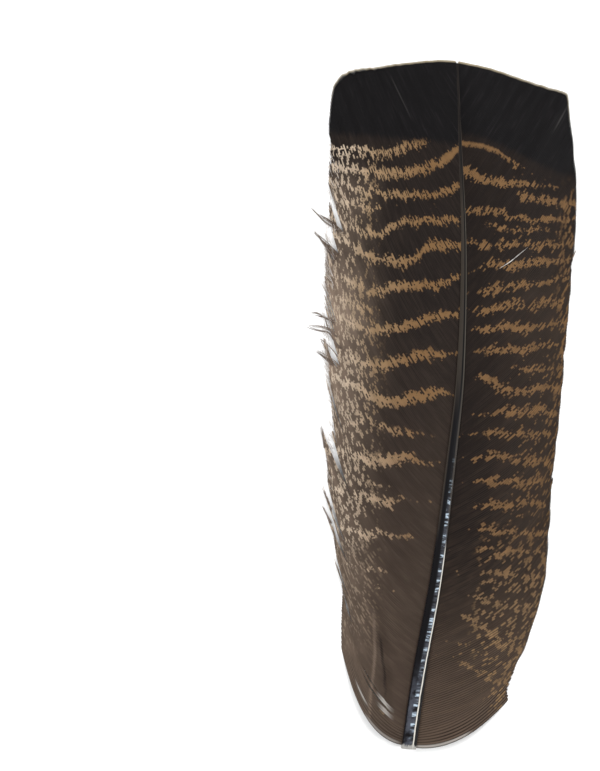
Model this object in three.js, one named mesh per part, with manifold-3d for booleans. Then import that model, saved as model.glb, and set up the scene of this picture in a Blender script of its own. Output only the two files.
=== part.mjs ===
// Turkey tail feather: a cut length of shaft with both vanes, lying on its underside, smooth side up.
// Millimetres. +Y runs along the shaft from the cut base to the tip, +X is to the right seen from
// above, and +Z is up. The feather rests on z = 0 along the edges of its vanes and its cut base.
import * as THREE from 'three'
import { mergeVertices } from 'three/addons/utils/BufferGeometryUtils.js'
import Module from 'manifold-3d'

// Shaft, from the cut base to the tip: y, sideways bow of its centre line, width, height
const SHAFT = [
  [-0.8, -0.5, 4.5, 3.7],
  [22, 1.1, 4.2, 3.4],
  [50, 3.9, 3.5, 2.9],
  [85, 5.9, 2.8, 2.4],
  [107, 6.7, 2.4, 2.0],
  [143, 5.3, 1.7, 1.5],
  [171, 2.6, 1.1, 1.0],
  [195.4, 0.2, 0.5, 0.5],
]
const SHAFT_RINGS = 24
const SHAFT_SIDES = 14
const SHAFT_SQUARENESS = 0.8
const GROOVE_DEPTH = 0.14
const ARCH = 5
const ARCH_FULLNESS = 1.2

// Vanes: root y on the shaft, x and y of the barb's end, and the angles in degrees above the
// sideways direction at which the barb leaves the shaft and reaches the edge of the vane
const LEFT_VANE = [
  [0.4, -21.6, 27.4, -2, 74],
  [3.6, -22.2, 34.3, 14, 72],
  [9.6, -22.5, 42.5, 22, 72],
  [16.5, -24.6, 52.0, 26, 72],
  [31, -28.7, 74.0, 27, 74],
  [45.5, -29.6, 96.5, 29, 74],
  [57, -32.8, 114.5, 31, 72],
  [68, -33.6, 131.4, 34, 70],
  [80, -34.4, 148.3, 38, 69],
  [92, -34.7, 164.5, 43, 68],
  [102, -35.4, 178, 46, 68],
  [107.5, -34.9, 186, 48, 67],
  [111.5, -33.5, 189.1, 49, 66],
  [118, -31.2, 190.9, 50, 65],
  [128, -28.6, 191.9, 51, 64],
  [139, -25.0, 192.5, 52, 63],
  [150, -21.3, 193.2, 53, 61],
  [160, -17.4, 194.1, 53, 61],
  [170, -12.9, 194.9, 53, 61],
  [180, -8.1, 195.7, 53, 62],
  [188, -4.2, 196.1, 52, 64],
  [194.6, -0.6, 196.1, 50, 70],
]
const RIGHT_VANE = [
  [0.4, 27.3, 15.6, -9, 52],
  [4, 28.4, 23.2, 10, 56],
  [10, 31.0, 30.5, 19, 58],
  [20, 34.9, 46.5, 24, 64],
  [30.5, 35.7, 61.5, 25, 67],
  [47, 35.7, 78, 26, 68],
  [64, 36.4, 96, 30, 68],
  [79, 36.8, 114.2, 37, 68],
  [93, 37.0, 132, 43, 67],
  [105.5, 37.3, 148.5, 47, 67],
  [116, 36.8, 162, 51, 67],
  [126, 35.1, 174, 54, 66],
  [133, 33.6, 181.5, 56, 65],
  [138.6, 32.5, 188.2, 57, 65],
  [141.4, 31.2, 189.5, 58, 64],
  [147, 28.2, 190.1, 58, 64],
  [154, 24.2, 191.0, 58, 64],
  [162, 19.7, 192.1, 58, 64],
  [170, 15.0, 193.4, 58, 64],
  [180, 9.2, 194.8, 58, 65],
  [188, 4.8, 195.4, 57, 67],
  [194.6, 0.9, 196.0, 54, 72],
]
const HANDLE = 0.36
const LOCKS = 30
const LOCK_NOTCH = 0.008
const LOCK_UNEVENNESS = 0.35
const LOCK_UNEVEN_TURN = 2.4
const LOCK_CROWN = 0.15
const LOCK_CROWN_FULL_BY = 0.3
const STEPS = [0, 0.08, 0.19, 0.31, 0.43, 0.55, 0.67, 0.78, 0.87, 0.94, 1]
const RESTS_FROM = 0.94
const ROOT_OVERLAP = 0.08
const ROOT_HEIGHT = 0.16
const ROOT_THICKNESS = 0.45
const ROOT_THICKNESS_BY_SHAFT = 0.1
const EDGE_THICKNESS = 0.4
const CAMBER = 0.8
const CAMBER_FULL_LENGTH = 20
const DOME = 1.3

// Gaps worn into the edges of the vanes, and tufts that stand out: root y of the barbs there, and
// the share of their length that they lose
const LEFT_GAPS = [[12.7, 0.035], [17, 0.045], [25.5, 0.05], [31, -0.02], [35.5, -0.02],
  [42.9, 0.055], [51.6, 0.04], [54.4, 0.05], [59.9, 0.08], [76.9, 0.055], [82.3, 0.07]]
const RIGHT_GAPS = [[2.2, 0.05], [49.6, 0.02], [80.2, 0.02], [100, 0.025]]
const GAP_CLEARANCE = 0.9

// Loose strands at the left edge: x and y of the root, x and y of the tip, width at the root
const STRANDS = [
  [-28.6, 143.4, -39.1, 151.9, 1.5],
  [-29.4, 136.4, -37.7, 144.8, 1.7],
  [-28.6, 118.0, -37.0, 121.4, 1.2],
  [-29.2, 115.5, -38.5, 118.1, 1.4],
  [-28.4, 107.6, -35.5, 116.4, 2.0],
  [-27.4, 105.8, -34.5, 110.7, 1.4],
  [-26.2, 82.0, -32.0, 90.0, 3.0],
  [-23.8, 64.6, -30.2, 71.8, 2.4],
  [-23.6, 60.6, -29.9, 66.6, 2.0],
]
const STRAND_TIP_WIDTH = 0.3
const STRAND_THICKNESS = 0.45
const STRAND_TIP_THICKNESS = 0.25
const STRAND_ROOT_LIFT = 0.12

// Crease that runs up the lower left vane: points along it from the base, the heights between
// which it deepens and then dies away, its depth and its breadth
const CREASE = [[-7.6, 6.9], [-8.4, 15.7], [-9.4, 22.8], [-10.8, 29.9], [-12.3, 35.5]]
const CREASE_DEEPENS = [4, 10]
const CREASE_DIES_AWAY = [33, 44]
const CREASE_DEPTH = 0.9
const CREASE_BREADTH = 2.4

const FEATHER_COLOUR = 0x4a3f37
const FEATHER_ROUGHNESS = 0.6
const FEATHER_METALNESS = 0
const MERGE_DISTANCE = 1e-4

const smallest = (values) => values.reduce((a, b) => Math.min(a, b))
const mix = (a, b, share) => a + (b - a) * share
const radians = THREE.MathUtils.degToRad

// Reads a table of stations at one place, along a smooth curve through its rows
function readTable(rows, place) {
  const last = rows.length - 1
  let row = 0
  while (row < last - 1 && place > rows[row + 1][0]) row += 1
  const span = rows[row + 1][0] - rows[row][0]
  const share = THREE.MathUtils.clamp((place - rows[row][0]) / span, 0, 1)
  return rows[row].map((_, column) => {
    const slopeAt = (index) => {
      const before = rows[Math.max(index - 1, 0)]
      const after = rows[Math.min(index + 1, last)]
      return (after[column] - before[column]) / (after[0] - before[0])
    }
    const start = rows[row][column]
    const end = rows[row + 1][column]
    const leave = slopeAt(row) * span
    const arrive = slopeAt(row + 1) * span
    return start + leave * share
      + (3 * (end - start) - 2 * leave - arrive) * share ** 2
      + (2 * (start - end) + leave + arrive) * share ** 3
  })
}

// The shaft's centre, width and height at a place along it, lifted by the arch
function shaftAt(place) {
  const [, x, width, height] = readTable(SHAFT, place)
  const base = SHAFT[0][0]
  const tip = SHAFT[SHAFT.length - 1][0]
  const along = THREE.MathUtils.clamp((place - base) / (tip - base), 0, 1)
  const z = height / 2 + ARCH * Math.sin(Math.PI * along) ** ARCH_FULLNESS
  return { x, z, width, height }
}

// How deep the crease is at a point of the left vane
function creaseAt(x, y) {
  const lineX = readTable(CREASE.map(([a, b]) => [b, a]), y)[1]
  const fade = THREE.MathUtils.smoothstep(y, ...CREASE_DEEPENS)
    * (1 - THREE.MathUtils.smoothstep(y, ...CREASE_DIES_AWAY))
  return CREASE_DEPTH * fade * Math.exp(-(((x - lineX) / CREASE_BREADTH) ** 2))
}

// A point on the middle surface of a vane: where its barb is after a share of the way to its end
function vanePoint(rows, root, share) {
  const [, endX, endY, leaveAngle, arriveAngle] = readTable(rows, root)
  const shaft = shaftAt(root)
  const side = Math.sign(rows[0][1])
  const start = new THREE.Vector2(shaft.x - side * ROOT_OVERLAP * shaft.width, root)
  const end = new THREE.Vector2(endX, endY)
  const handle = HANDLE * start.distanceTo(end)
  const heading = (angle) => new THREE.Vector2(side * Math.cos(radians(angle)), Math.sin(radians(angle)))
  const leave = start.clone().addScaledVector(heading(leaveAngle), handle)
  const arrive = end.clone().addScaledVector(heading(arriveAngle), -handle)
  const point = new THREE.CubicBezierCurve(start, leave, arrive, end).getPoint(share)
  const fall = (1 - Math.cos(Math.PI * share ** DOME)) / 2
  const rootZ = shaft.z + ROOT_HEIGHT * shaft.height
  const fullness = Math.min(1, start.distanceTo(end) / CAMBER_FULL_LENGTH)
  const camber = CAMBER * Math.sin(Math.PI * share) * fullness
  const crease = side < 0 ? creaseAt(point.x, point.y) : 0
  const z = mix(rootZ, EDGE_THICKNESS / 2, fall) + camber - crease
  const rootThickness = ROOT_THICKNESS + ROOT_THICKNESS_BY_SHAFT * shaft.height
  return { x: point.x, y: point.y, z, thickness: mix(rootThickness, EDGE_THICKNESS, share) }
}

// Closed skin between a grid of upper points and the grid of lower points under it
function skin(upper, lower) {
  const columns = upper.length
  const steps = upper[0].length
  const positions = [...upper.flat(), ...lower.flat()].flat()
  const top = (i, j) => i * steps + j
  const bottom = (i, j) => columns * steps + i * steps + j
  const index = []
  const quad = (a, b, c, d) => index.push(a, b, c, a, c, d)
  for (let i = 0; i < columns - 1; i += 1) {
    for (let j = 0; j < steps - 1; j += 1) {
      quad(top(i, j), top(i, j + 1), top(i + 1, j + 1), top(i + 1, j))
      quad(bottom(i, j), bottom(i + 1, j), bottom(i + 1, j + 1), bottom(i, j + 1))
    }
    quad(top(i, 0), top(i + 1, 0), bottom(i + 1, 0), bottom(i, 0))
    quad(top(i + 1, steps - 1), top(i, steps - 1), bottom(i, steps - 1), bottom(i + 1, steps - 1))
  }
  for (let j = 0; j < steps - 1; j += 1) {
    quad(top(0, j + 1), top(0, j), bottom(0, j), bottom(0, j + 1))
    const edge = columns - 1
    quad(top(edge, j), top(edge, j + 1), bottom(edge, j + 1), bottom(edge, j))
  }
  const geometry = new THREE.BufferGeometry()
  geometry.setAttribute('position', new THREE.Float32BufferAttribute(positions, 3))
  geometry.setIndex(index)
  return geometry
}

// Turns every face of a closed skin over, where its faces point in
function facingOut(geometry) {
  const position = geometry.attributes.position
  const index = Array.from(geometry.index.array)
  let volume = 0
  const corner = (n) => new THREE.Vector3().fromBufferAttribute(position, index[n])
  for (let n = 0; n < index.length; n += 3) {
    volume += corner(n).dot(corner(n + 1).cross(corner(n + 2)))
  }
  if (volume < 0) geometry.setIndex(index.reverse())
  return geometry
}

// Shaft: a squarish tapered rod with a groove along its underside, cut off flat at the base
function shaftGeometry() {
  const base = SHAFT[0][0]
  const tip = SHAFT[SHAFT.length - 1][0]
  const positions = []
  for (let ring = 0; ring <= SHAFT_RINGS; ring += 1) {
    const y = mix(base, tip, ring / SHAFT_RINGS)
    const shaft = shaftAt(y)
    const section = Array.from({ length: SHAFT_SIDES }, (_, k) => {
      const turn = (2 * Math.PI * k) / SHAFT_SIDES
      const across = Math.sign(Math.sin(turn)) * Math.abs(Math.sin(turn)) ** SHAFT_SQUARENESS
      const up = -Math.sign(Math.cos(turn)) * Math.abs(Math.cos(turn)) ** SHAFT_SQUARENESS
      return [across, k === 0 ? up + 2 * GROOVE_DEPTH : up]
    })
    const low = smallest(section.map(([, up]) => up))
    for (const [across, up] of section) {
      const rise = (up - low) / (1 - low)
      positions.push(shaft.x + (across * shaft.width) / 2, y, shaft.z + shaft.height * (rise - 0.5))
    }
  }
  const capCentre = (ring) => {
    const y = mix(base, tip, ring / SHAFT_RINGS)
    positions.push(shaftAt(y).x, y, shaftAt(y).z)
    return positions.length / 3 - 1
  }
  const baseCentre = capCentre(0)
  const tipCentre = capCentre(SHAFT_RINGS)
  const index = []
  for (let k = 0; k < SHAFT_SIDES; k += 1) {
    const next = (k + 1) % SHAFT_SIDES
    for (let ring = 0; ring < SHAFT_RINGS; ring += 1) {
      const here = ring * SHAFT_SIDES
      const there = here + SHAFT_SIDES
      index.push(here + k, here + next, there + next, here + k, there + next, there + k)
    }
    const end = SHAFT_RINGS * SHAFT_SIDES
    index.push(baseCentre, next, k, tipCentre, end + k, end + next)
  }
  const geometry = new THREE.BufferGeometry()
  geometry.setAttribute('position', new THREE.Float32BufferAttribute(positions, 3))
  geometry.setIndex(index)
  return geometry
}

// Stations along a vane: the crown and the two notched sides of every lock, and the worn gaps
function vaneStations(rows, gaps) {
  const first = rows[0][0]
  const last = rows[rows.length - 1][0]
  const stations = gaps.map(([root, loss]) => ({ root, reach: 1 - loss, crown: -1 }))
  for (let n = 0; n <= 2 * LOCKS; n += 1) {
    const root = mix(first, last, n / (2 * LOCKS))
    const isSide = n % 2 === 0
    const uneven = 1 - LOCK_UNEVENNESS * (1 + Math.sin(LOCK_UNEVEN_TURN * n))
    const clear = gaps.every(([gap]) => Math.abs(gap - root) > GAP_CLEARANCE)
    const inner = n > 0 && n < 2 * LOCKS
    const reach = isSide && inner ? 1 - LOCK_NOTCH * uneven : 1
    if (clear) stations.push({ root, reach, crown: isSide ? -1 : 1 })
  }
  return stations.sort((a, b) => a.root - b.root)
}

// Vane: locks side by side, thin at the edge, flat underneath where the edge lies on the surface
function vaneGeometry(rows, gaps) {
  const upper = []
  const lower = []
  for (const { root, reach, crown } of vaneStations(rows, gaps)) {
    const top = []
    const bottom = []
    for (const step of STEPS) {
      const { x, y, z, thickness } = vanePoint(rows, root, step * reach)
      const relief = crown * LOCK_CROWN * Math.min(1, step / LOCK_CROWN_FULL_BY)
      const low = step >= RESTS_FROM ? 0 : Math.max(0, z - thickness / 2)
      bottom.push([x, y, low])
      top.push([x, y, Math.max(z + thickness / 2 + relief, low + EDGE_THICKNESS)])
    }
    upper.push(top)
    lower.push(bottom)
  }
  return skin(upper, lower)
}

// Loose strand: a slim wedge from inside the vane out to a thin tip that touches the surface
function strandGeometry([rootX, rootY, tipX, tipY, width]) {
  const along = new THREE.Vector2(tipX - rootX, tipY - rootY).normalize()
  const across = new THREE.Vector2(-along.y, along.x)
  const end = (x, y, low, thickness, breadth) => [-1, 1].map((side) => {
    const edgeX = x + (across.x * side * breadth) / 2
    const edgeY = y + (across.y * side * breadth) / 2
    return [[edgeX, edgeY, low + thickness], [edgeX, edgeY, low]]
  })
  const root = end(rootX, rootY, STRAND_ROOT_LIFT, STRAND_THICKNESS, width)
  const tip = end(tipX, tipY, 0, STRAND_TIP_THICKNESS, STRAND_TIP_WIDTH)
  const upper = [0, 1].map((side) => [root[side][0], tip[side][0]])
  const lower = [0, 1].map((side) => [root[side][1], tip[side][1]])
  return skin(upper, lower)
}

const wasm = await Module()
wasm.setup()

// Turns a closed skin into a solid that others can be joined to
function solid(geometry) {
  const merged = mergeVertices(facingOut(geometry), MERGE_DISTANCE)
  return new wasm.Manifold(new wasm.Mesh({
    numProp: 3,
    vertProperties: new Float32Array(merged.attributes.position.array),
    triVerts: new Uint32Array(merged.index.array),
  }))
}

// The whole feather grew as one piece, so the shaft, the vanes and the strands are joined
function featherGeometry() {
  const pieces = [
    vaneGeometry(LEFT_VANE, LEFT_GAPS),
    vaneGeometry(RIGHT_VANE, RIGHT_GAPS),
    ...STRANDS.map(strandGeometry),
  ]
  const whole = pieces.reduce((joined, piece) => joined.add(solid(piece)), solid(shaftGeometry()))
  const { vertProperties, triVerts } = whole.getMesh()
  const geometry = new THREE.BufferGeometry()
  geometry.setAttribute('position', new THREE.BufferAttribute(new Float32Array(vertProperties), 3))
  geometry.setIndex(new THREE.BufferAttribute(new Uint32Array(triVerts), 1))
  geometry.computeBoundingBox()
  const middle = geometry.boundingBox.getCenter(new THREE.Vector3())
  geometry.translate(-middle.x, -middle.y, -geometry.boundingBox.min.z)
  geometry.computeVertexNormals()
  return geometry
}

const material = new THREE.MeshStandardMaterial({
  color: FEATHER_COLOUR,
  roughness: FEATHER_ROUGHNESS,
  metalness: FEATHER_METALNESS,
})

const group = new THREE.Group()
const feather = new THREE.Mesh(featherGeometry(), material)
feather.name = 'feather'
group.add(feather)

export default group
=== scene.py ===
import math

import bpy
import numpy as np
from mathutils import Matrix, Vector


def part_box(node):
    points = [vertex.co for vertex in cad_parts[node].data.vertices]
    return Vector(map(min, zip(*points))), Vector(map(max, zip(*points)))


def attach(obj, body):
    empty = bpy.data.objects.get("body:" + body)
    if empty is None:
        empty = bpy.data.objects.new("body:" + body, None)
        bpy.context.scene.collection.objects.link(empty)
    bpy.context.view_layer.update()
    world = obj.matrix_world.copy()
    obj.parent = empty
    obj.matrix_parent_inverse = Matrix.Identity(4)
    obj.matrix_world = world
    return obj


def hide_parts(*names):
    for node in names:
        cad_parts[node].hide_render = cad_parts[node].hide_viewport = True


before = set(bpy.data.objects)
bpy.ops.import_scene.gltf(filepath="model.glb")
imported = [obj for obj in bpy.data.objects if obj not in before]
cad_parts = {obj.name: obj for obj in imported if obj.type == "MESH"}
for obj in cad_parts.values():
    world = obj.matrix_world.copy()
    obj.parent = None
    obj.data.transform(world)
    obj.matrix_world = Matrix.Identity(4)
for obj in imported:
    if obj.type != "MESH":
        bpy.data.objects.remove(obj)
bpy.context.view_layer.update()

# Camera. It looks straight down from about 0.6 m, through a long lens, with the feather leaning a
# little to the right in the right half of the picture. The feather is drawn in millimetres, with x = 0
# and y = 0 at the middle of the cut base and +y towards the tip.
MM = 0.001
PHOTO_HEIGHT = 771
PHOTO_MIDDLE = (300.0, 385.5)
BASE_IN_PHOTO = (410.4, 745.4)
TIP_IN_PHOTO = (457.0, 60.4)
PIXEL = 0.2855
LEFT_REACH = 39.19
BASE_SETBACK = 0.8
LENS = 100
SENSOR = 36
FOCUS_HEIGHT = 1.5

cad_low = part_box("feather")[0]
DRAWING_ORIGIN = Vector((cad_low.x + LEFT_REACH * MM, cad_low.y + BASE_SETBACK * MM, 0))


def placed(x, y, z):
    """A point of the drawing, in metres in the frame."""
    return DRAWING_ORIGIN + Vector((x, y, z)) * MM


lean = math.atan2(TIP_IN_PHOTO[0] - BASE_IN_PHOTO[0], BASE_IN_PHOTO[1] - TIP_IN_PHOTO[1])
across = (PHOTO_MIDDLE[0] - BASE_IN_PHOTO[0]) * PIXEL
above = (BASE_IN_PHOTO[1] - PHOTO_MIDDLE[1]) * PIXEL
distance = PIXEL * PHOTO_HEIGHT * LENS / SENSOR
camera_place = placed(
    across * math.cos(lean) - above * math.sin(lean),
    across * math.sin(lean) + above * math.cos(lean),
    FOCUS_HEIGHT + distance,
)
bpy.ops.object.camera_add(location=camera_place, rotation=(0, 0, lean))
camera = bpy.context.object
camera.data.lens = LENS
camera.data.sensor_width = SENSOR
bpy.context.scene.camera = camera

# Shaft. The real one is a springy tapered rod of dark keratin, squarish in section, with a paler,
# grooved underside. Its colour carries a painted highlight line, painted bluish sheen and painted
# glints along its right shoulder, where the glossy keratin catches the light. It bows to the right,
# arches off the surface, and is cut off square at the base.
SHAFT = [
    # y, x of the middle, width, height
    [-0.8, -0.5, 4.5, 3.7],
    [22, 1.1, 4.2, 3.4],
    [50, 3.9, 3.5, 2.9],
    [85, 5.9, 2.8, 2.4],
    [107, 6.7, 2.4, 2.0],
    [143, 5.3, 1.7, 1.5],
    [171, 2.6, 1.1, 1.0],
    [195.4, 0.2, 0.5, 0.5],
]
ARCH = 5
ARCH_FULLNESS = 1.2
SHAFT_SIDES = 28
SHAFT_LENGTHS = 64
SHAFT_SHOULDER = 0.62
SHAFT_FLATNESS = 0.55
SHAFT_FULLNESS = 1.15
GROOVE_DEPTH = 0.14


def read_table(rows, place):
    """Reads a table of stations at many places at once, along a smooth curve through its rows."""
    rows = np.array(rows, float)
    place = np.asarray(place, float)
    at = rows[:, 0]
    order = np.arange(len(at))
    before = np.maximum(order - 1, 0)
    after = np.minimum(order + 1, len(at) - 1)
    slope = (rows[after] - rows[before]) / (at[after] - at[before])[:, None]
    row = np.clip(np.searchsorted(at, place, side="right") - 1, 0, len(at) - 2)
    span = (at[row + 1] - at[row])[..., None]
    share = np.clip((place - at[row])[..., None] / span, 0, 1)
    start, end = rows[row], rows[row + 1]
    leave, arrive = slope[row] * span, slope[row + 1] * span
    bend = 3 * (end - start) - 2 * leave - arrive
    return start + leave * share + bend * share**2 + (2 * (start - end) + leave + arrive) * share**3


def shaft_at(place):
    """The shaft's middle x, middle z, width and height at places along it, in millimetres."""
    found = read_table(SHAFT, place)
    base, tip = SHAFT[0][0], SHAFT[-1][0]
    along = np.clip((np.asarray(place, float) - base) / (tip - base), 0, 1)
    z = found[..., 3] / 2 + ARCH * np.sin(np.pi * along) ** ARCH_FULLNESS
    return found[..., 1], z, found[..., 2], found[..., 3]


def start_piece():
    """Leaves nothing selected, so that an operator touches only the new piece."""
    bpy.ops.object.select_all(action="DESELECT")


def select_where(chosen):
    """In edit mode, selects the vertices whose place passes a test."""
    bpy.ops.mesh.select_all(action="DESELECT")
    bpy.ops.object.mode_set(mode="OBJECT")
    for vertex in bpy.context.object.data.vertices:
        vertex.select = chosen(vertex.co)
    bpy.ops.object.mode_set(mode="EDIT")


def pull_along(stations):
    """In edit mode, pulls a flat outline out into a closed rod, through places with a size at each."""
    bpy.ops.mesh.select_all(action="SELECT")
    middle, size = Vector((0, 0, 0)), (1, 1, 1)
    for number, (target, wanted) in enumerate(stations):
        if number == 0:
            bpy.ops.transform.translate(value=target - middle)
        else:
            bpy.ops.mesh.extrude_region_move(TRANSFORM_OT_translate={"value": target - middle})
        grow = [new / old for new, old in zip(wanted, size)]
        bpy.ops.transform.resize(value=grow, center_override=target)
        middle, size = target, wanted
    bpy.ops.mesh.select_all(action="SELECT")
    bpy.ops.mesh.normals_make_consistent(inside=False)
    bpy.ops.object.mode_set(mode="OBJECT")


def settle(piece, name):
    """Names a finished piece and puts its place into its mesh."""
    piece.name = name
    piece.data.name = name
    bpy.ops.object.transform_apply(location=True, rotation=True, scale=True)
    return piece


def belongs(piece, finish):
    """Every piece is part of the one feather, so it rides with it and stands for its solid."""
    piece.data.materials.append(finish)
    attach(piece, "root")
    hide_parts("feather")


def set_field(mesh, field, values):
    """Keeps a number at every point of a mesh, for its material to read."""
    layer = mesh.attributes.new(field, "FLOAT", "POINT")
    layer.data.foreach_set("value", np.asarray(values, np.float32))


class Tone:
    """A number or a colour that changes over a surface. Sums of tones add the nodes they need."""

    def __init__(self, material, socket=None):
        self.material = material
        self.socket = socket

    def node(self, kind, settings, inputs, output=0):
        """Adds a node: its settings first, then the value or the link of each socket."""
        made = self.material.node_tree.nodes.new(kind)
        for name, value in settings.items():
            if name == "stops":
                ramp = made.color_ramp.elements
                while len(ramp) < len(value):
                    ramp.new(0.5)
                for stop, (place, colour) in zip(ramp, value):
                    stop.position = place
                    stop.color = colour
            else:
                setattr(made, name, value)
        for key, value in inputs.items():
            if isinstance(value, Tone):
                self.material.node_tree.links.new(value.socket, made.inputs[key])
            else:
                made.inputs[key].default_value = value
        return Tone(self.material, made.outputs[output])

    def math(self, operation, *values):
        return self.node("ShaderNodeMath", {"operation": operation}, dict(enumerate(values)))

    def __add__(self, other):
        return self.math("ADD", self, other)

    def __sub__(self, other):
        return self.math("SUBTRACT", self, other)

    def __rsub__(self, other):
        return self.math("SUBTRACT", other, self)

    def __mul__(self, other):
        return self.math("MULTIPLY", self, other)

    def __truediv__(self, other):
        return self.math("DIVIDE", self, other)

    __radd__ = __add__
    __rmul__ = __mul__

    def __abs__(self):
        return self.math("ABSOLUTE", self)

    def most(self, other):
        """The larger of two numbers."""
        return self.math("MAXIMUM", self, other)

    def step(self, low, high):
        """0 below low, 1 above high, and smooth between them."""
        return self.node(
            "ShaderNodeMapRange",
            {"interpolation_type": "SMOOTHSTEP"},
            {0: self, 1: low, 2: high, 3: 0.0, 4: 1.0},
        )

    def fall(self, low, high):
        """1 below low, 0 above high, and smooth between them."""
        return 1 - self.step(low, high)

    def mix(self, first, second):
        """The first colour where this is 0, the second where it is 1."""
        return self.node("ShaderNodeMix", {"data_type": "RGBA"}, {0: self, 6: first, 7: second}, 2)

    def field(self, name):
        """A number that is kept at the mesh's points."""
        return self.node("ShaderNodeAttribute", {"attribute_name": name}, {}, 2)

    def speckle(self, x, y, z, detail=2.0):
        """Cloudy noise between 0 and 1, read at three numbers."""
        at = self.node("ShaderNodeCombineXYZ", {}, {0: x, 1: y, 2: z})
        return self.node("ShaderNodeTexNoise", {}, {"Vector": at, "Scale": 1.0, "Detail": detail})

    def blots(self, x, y, z):
        """Distance to the nearest of many scattered points, for round spots."""
        at = self.node("ShaderNodeCombineXYZ", {}, {0: x, 1: y, 2: z})
        return self.node("ShaderNodeTexVoronoi", {}, {"Vector": at, "Scale": 1.0})


def srgb(red, green, blue):
    """A colour read off in 0 to 255, as the light that it stands for."""
    def light(value):
        value /= 255
        return value / 12.92 if value <= 0.04045 else ((value + 0.055) / 1.055) ** 2.4
    return (light(red), light(green), light(blue), 1.0)


def new_finish(name, **constants):
    """A material with its shader's plain values set, and a tone to build the rest from."""
    material = bpy.data.materials.new(name)
    material.use_nodes = True
    shader = material.node_tree.nodes["Principled BSDF"]
    for socket, value in constants.items():
        shader.inputs[socket.replace("_", " ")].default_value = value
    return material, Tone(material), shader


def join(tone, shader, socket):
    """Leads a tone into a socket of the shader."""
    tone.material.node_tree.links.new(tone.socket, shader.inputs[socket])


def place_tones(start):
    """X, Y and Z over the surface, in millimetres in the frame."""
    place = start.node("ShaderNodeTexCoord", {}, {}, "Object")
    split = [start.node("ShaderNodeSeparateXYZ", {}, {0: place}, axis) for axis in range(3)]
    return [axis / MM for axis in split]


start_piece()
bpy.ops.mesh.primitive_circle_add(
    vertices=SHAFT_SIDES, radius=1, fill_type="NGON", rotation=(math.pi / 2, 0, 0)
)
shaft = bpy.context.object
bpy.ops.object.transform_apply(location=False, rotation=True, scale=False)
bpy.ops.object.mode_set(mode="EDIT")
for side in (-1, 1):
    select_where(lambda co: side * co.z > SHAFT_SHOULDER)
    bpy.ops.transform.resize(
        value=(SHAFT_FULLNESS, 1, SHAFT_FLATNESS), center_override=(0, 0, side * SHAFT_SHOULDER)
    )
select_where(lambda co: co.z < 0 and abs(co.x) < 0.05)
bpy.ops.transform.translate(value=(0, 0, 2 * GROOVE_DEPTH))
section_height = SHAFT_SHOULDER + (1 - SHAFT_SHOULDER) * SHAFT_FLATNESS
stations = []
for station in np.linspace(SHAFT[0][0], SHAFT[-1][0], SHAFT_LENGTHS + 1):
    x, z, width, height = (float(value) for value in shaft_at(station))
    half_size = Vector((width * MM / 2, 1, height * MM / 2 / section_height))
    stations.append((placed(x, station, z), half_size))
pull_along(stations)
settle(shaft, "shaft")
bpy.ops.object.shade_smooth_by_angle(angle=math.radians(30))
corner_place = np.empty(len(shaft.data.vertices) * 3)
shaft.data.vertices.foreach_get("co", corner_place)
corner_place = (corner_place.reshape(-1, 3) - np.array(DRAWING_ORIGIN)) / MM
shaft_x, shaft_z, shaft_width, shaft_height = shaft_at(corner_place[:, 1])
set_field(shaft.data, "across", (corner_place[:, 0] - shaft_x) / shaft_width * 2)
set_field(shaft.data, "up", (corner_place[:, 2] - shaft_z) / shaft_height * 2)
set_field(shaft.data, "drawn_y", corner_place[:, 1])

KERATIN = srgb(13, 12, 14)
OLIVE_RIM = srgb(50, 45, 40)
THIN_RIM = srgb(70, 67, 61)
SHOULDER_HIGHLIGHT = srgb(204, 200, 191)
DUST_AND_SHEEN = srgb(84, 87, 97)
GLINT = srgb(168, 184, 198)
CUT_HORN = srgb(150, 148, 144)
PALE_UNDERSIDE = srgb(158, 148, 130)
HIGHLIGHT_AT_BASE = 0.46
HIGHLIGHT_HIGHER_UP = 0.82
HIGHLIGHT_TOP = 57
shaft_finish, tone, shader = new_finish("dark_keratin", Specular_IOR_Level=0.16)
x, y, z = place_tones(tone)
across = tone.field("across")
along = tone.field("drawn_y")
up = tone.field("up")
grain = tone.speckle(x * 6, y * 0.35, z * 6)
upper = along.step(92, 112)
rims = abs(across + 0.05).step(0.5, 0.72) * along.step(56, 68)
left_part = across.fall(0.1, 0.3) * upper * (1 - along.step(150, 170) * 0.7)
colour = (rims.most(left_part) * (0.75 + grain * 0.4)).mix(KERATIN, OLIVE_RIM)
thin_rim = across.step(0.6, 0.75) * upper * along.fall(148, 164)
colour = (thin_rim * (0.4 + grain)).mix(colour, THIN_RIM)
# Painted highlight: a pale line along the right shoulder, where the glossy shaft catches the light,
# fading out above about 57 mm.
highlight_place = HIGHLIGHT_AT_BASE + along.step(4, 48) * (HIGHLIGHT_HIGHER_UP - HIGHLIGHT_AT_BASE)
wobble = (tone.speckle(along * 0.3, 2.0, 2.0, 2.0) - 0.5) * 0.12
off_highlight = abs(across - highlight_place - wobble)
line = off_highlight.fall(0.045, 0.115) * along.fall(HIGHLIGHT_TOP - 3, HIGHLIGHT_TOP + 3)
colour = (line * (0.55 + grain * 0.7)).mix(colour, SHOULDER_HIGHLIGHT)
dusty = tone.speckle(across * 1.1, along * 0.5, 6.0, 2.0).step(0.3, 0.65)
left_of_line = across.step(-0.85, -0.7) * (across - highlight_place).fall(-0.2, -0.05)
colour = (dusty * left_of_line * along.fall(10, 26) * 0.6).mix(colour, DUST_AND_SHEEN)
# Painted glints: short bluish-white ticks beside the highlight line, where small ridges of the glossy
# shaft catch the light.
glint_ticks = tone.speckle(across * 0.2, along * 0.7, 4.0, 1.0).step(0.48, 0.6)
broken = tone.speckle(across * 1.1, along * 1.8, 9.0, 2.0).step(0.4, 0.56)
right_half = (across - highlight_place).step(-0.9, -0.5) * (across - highlight_place).fall(-0.1, 0.0)
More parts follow.
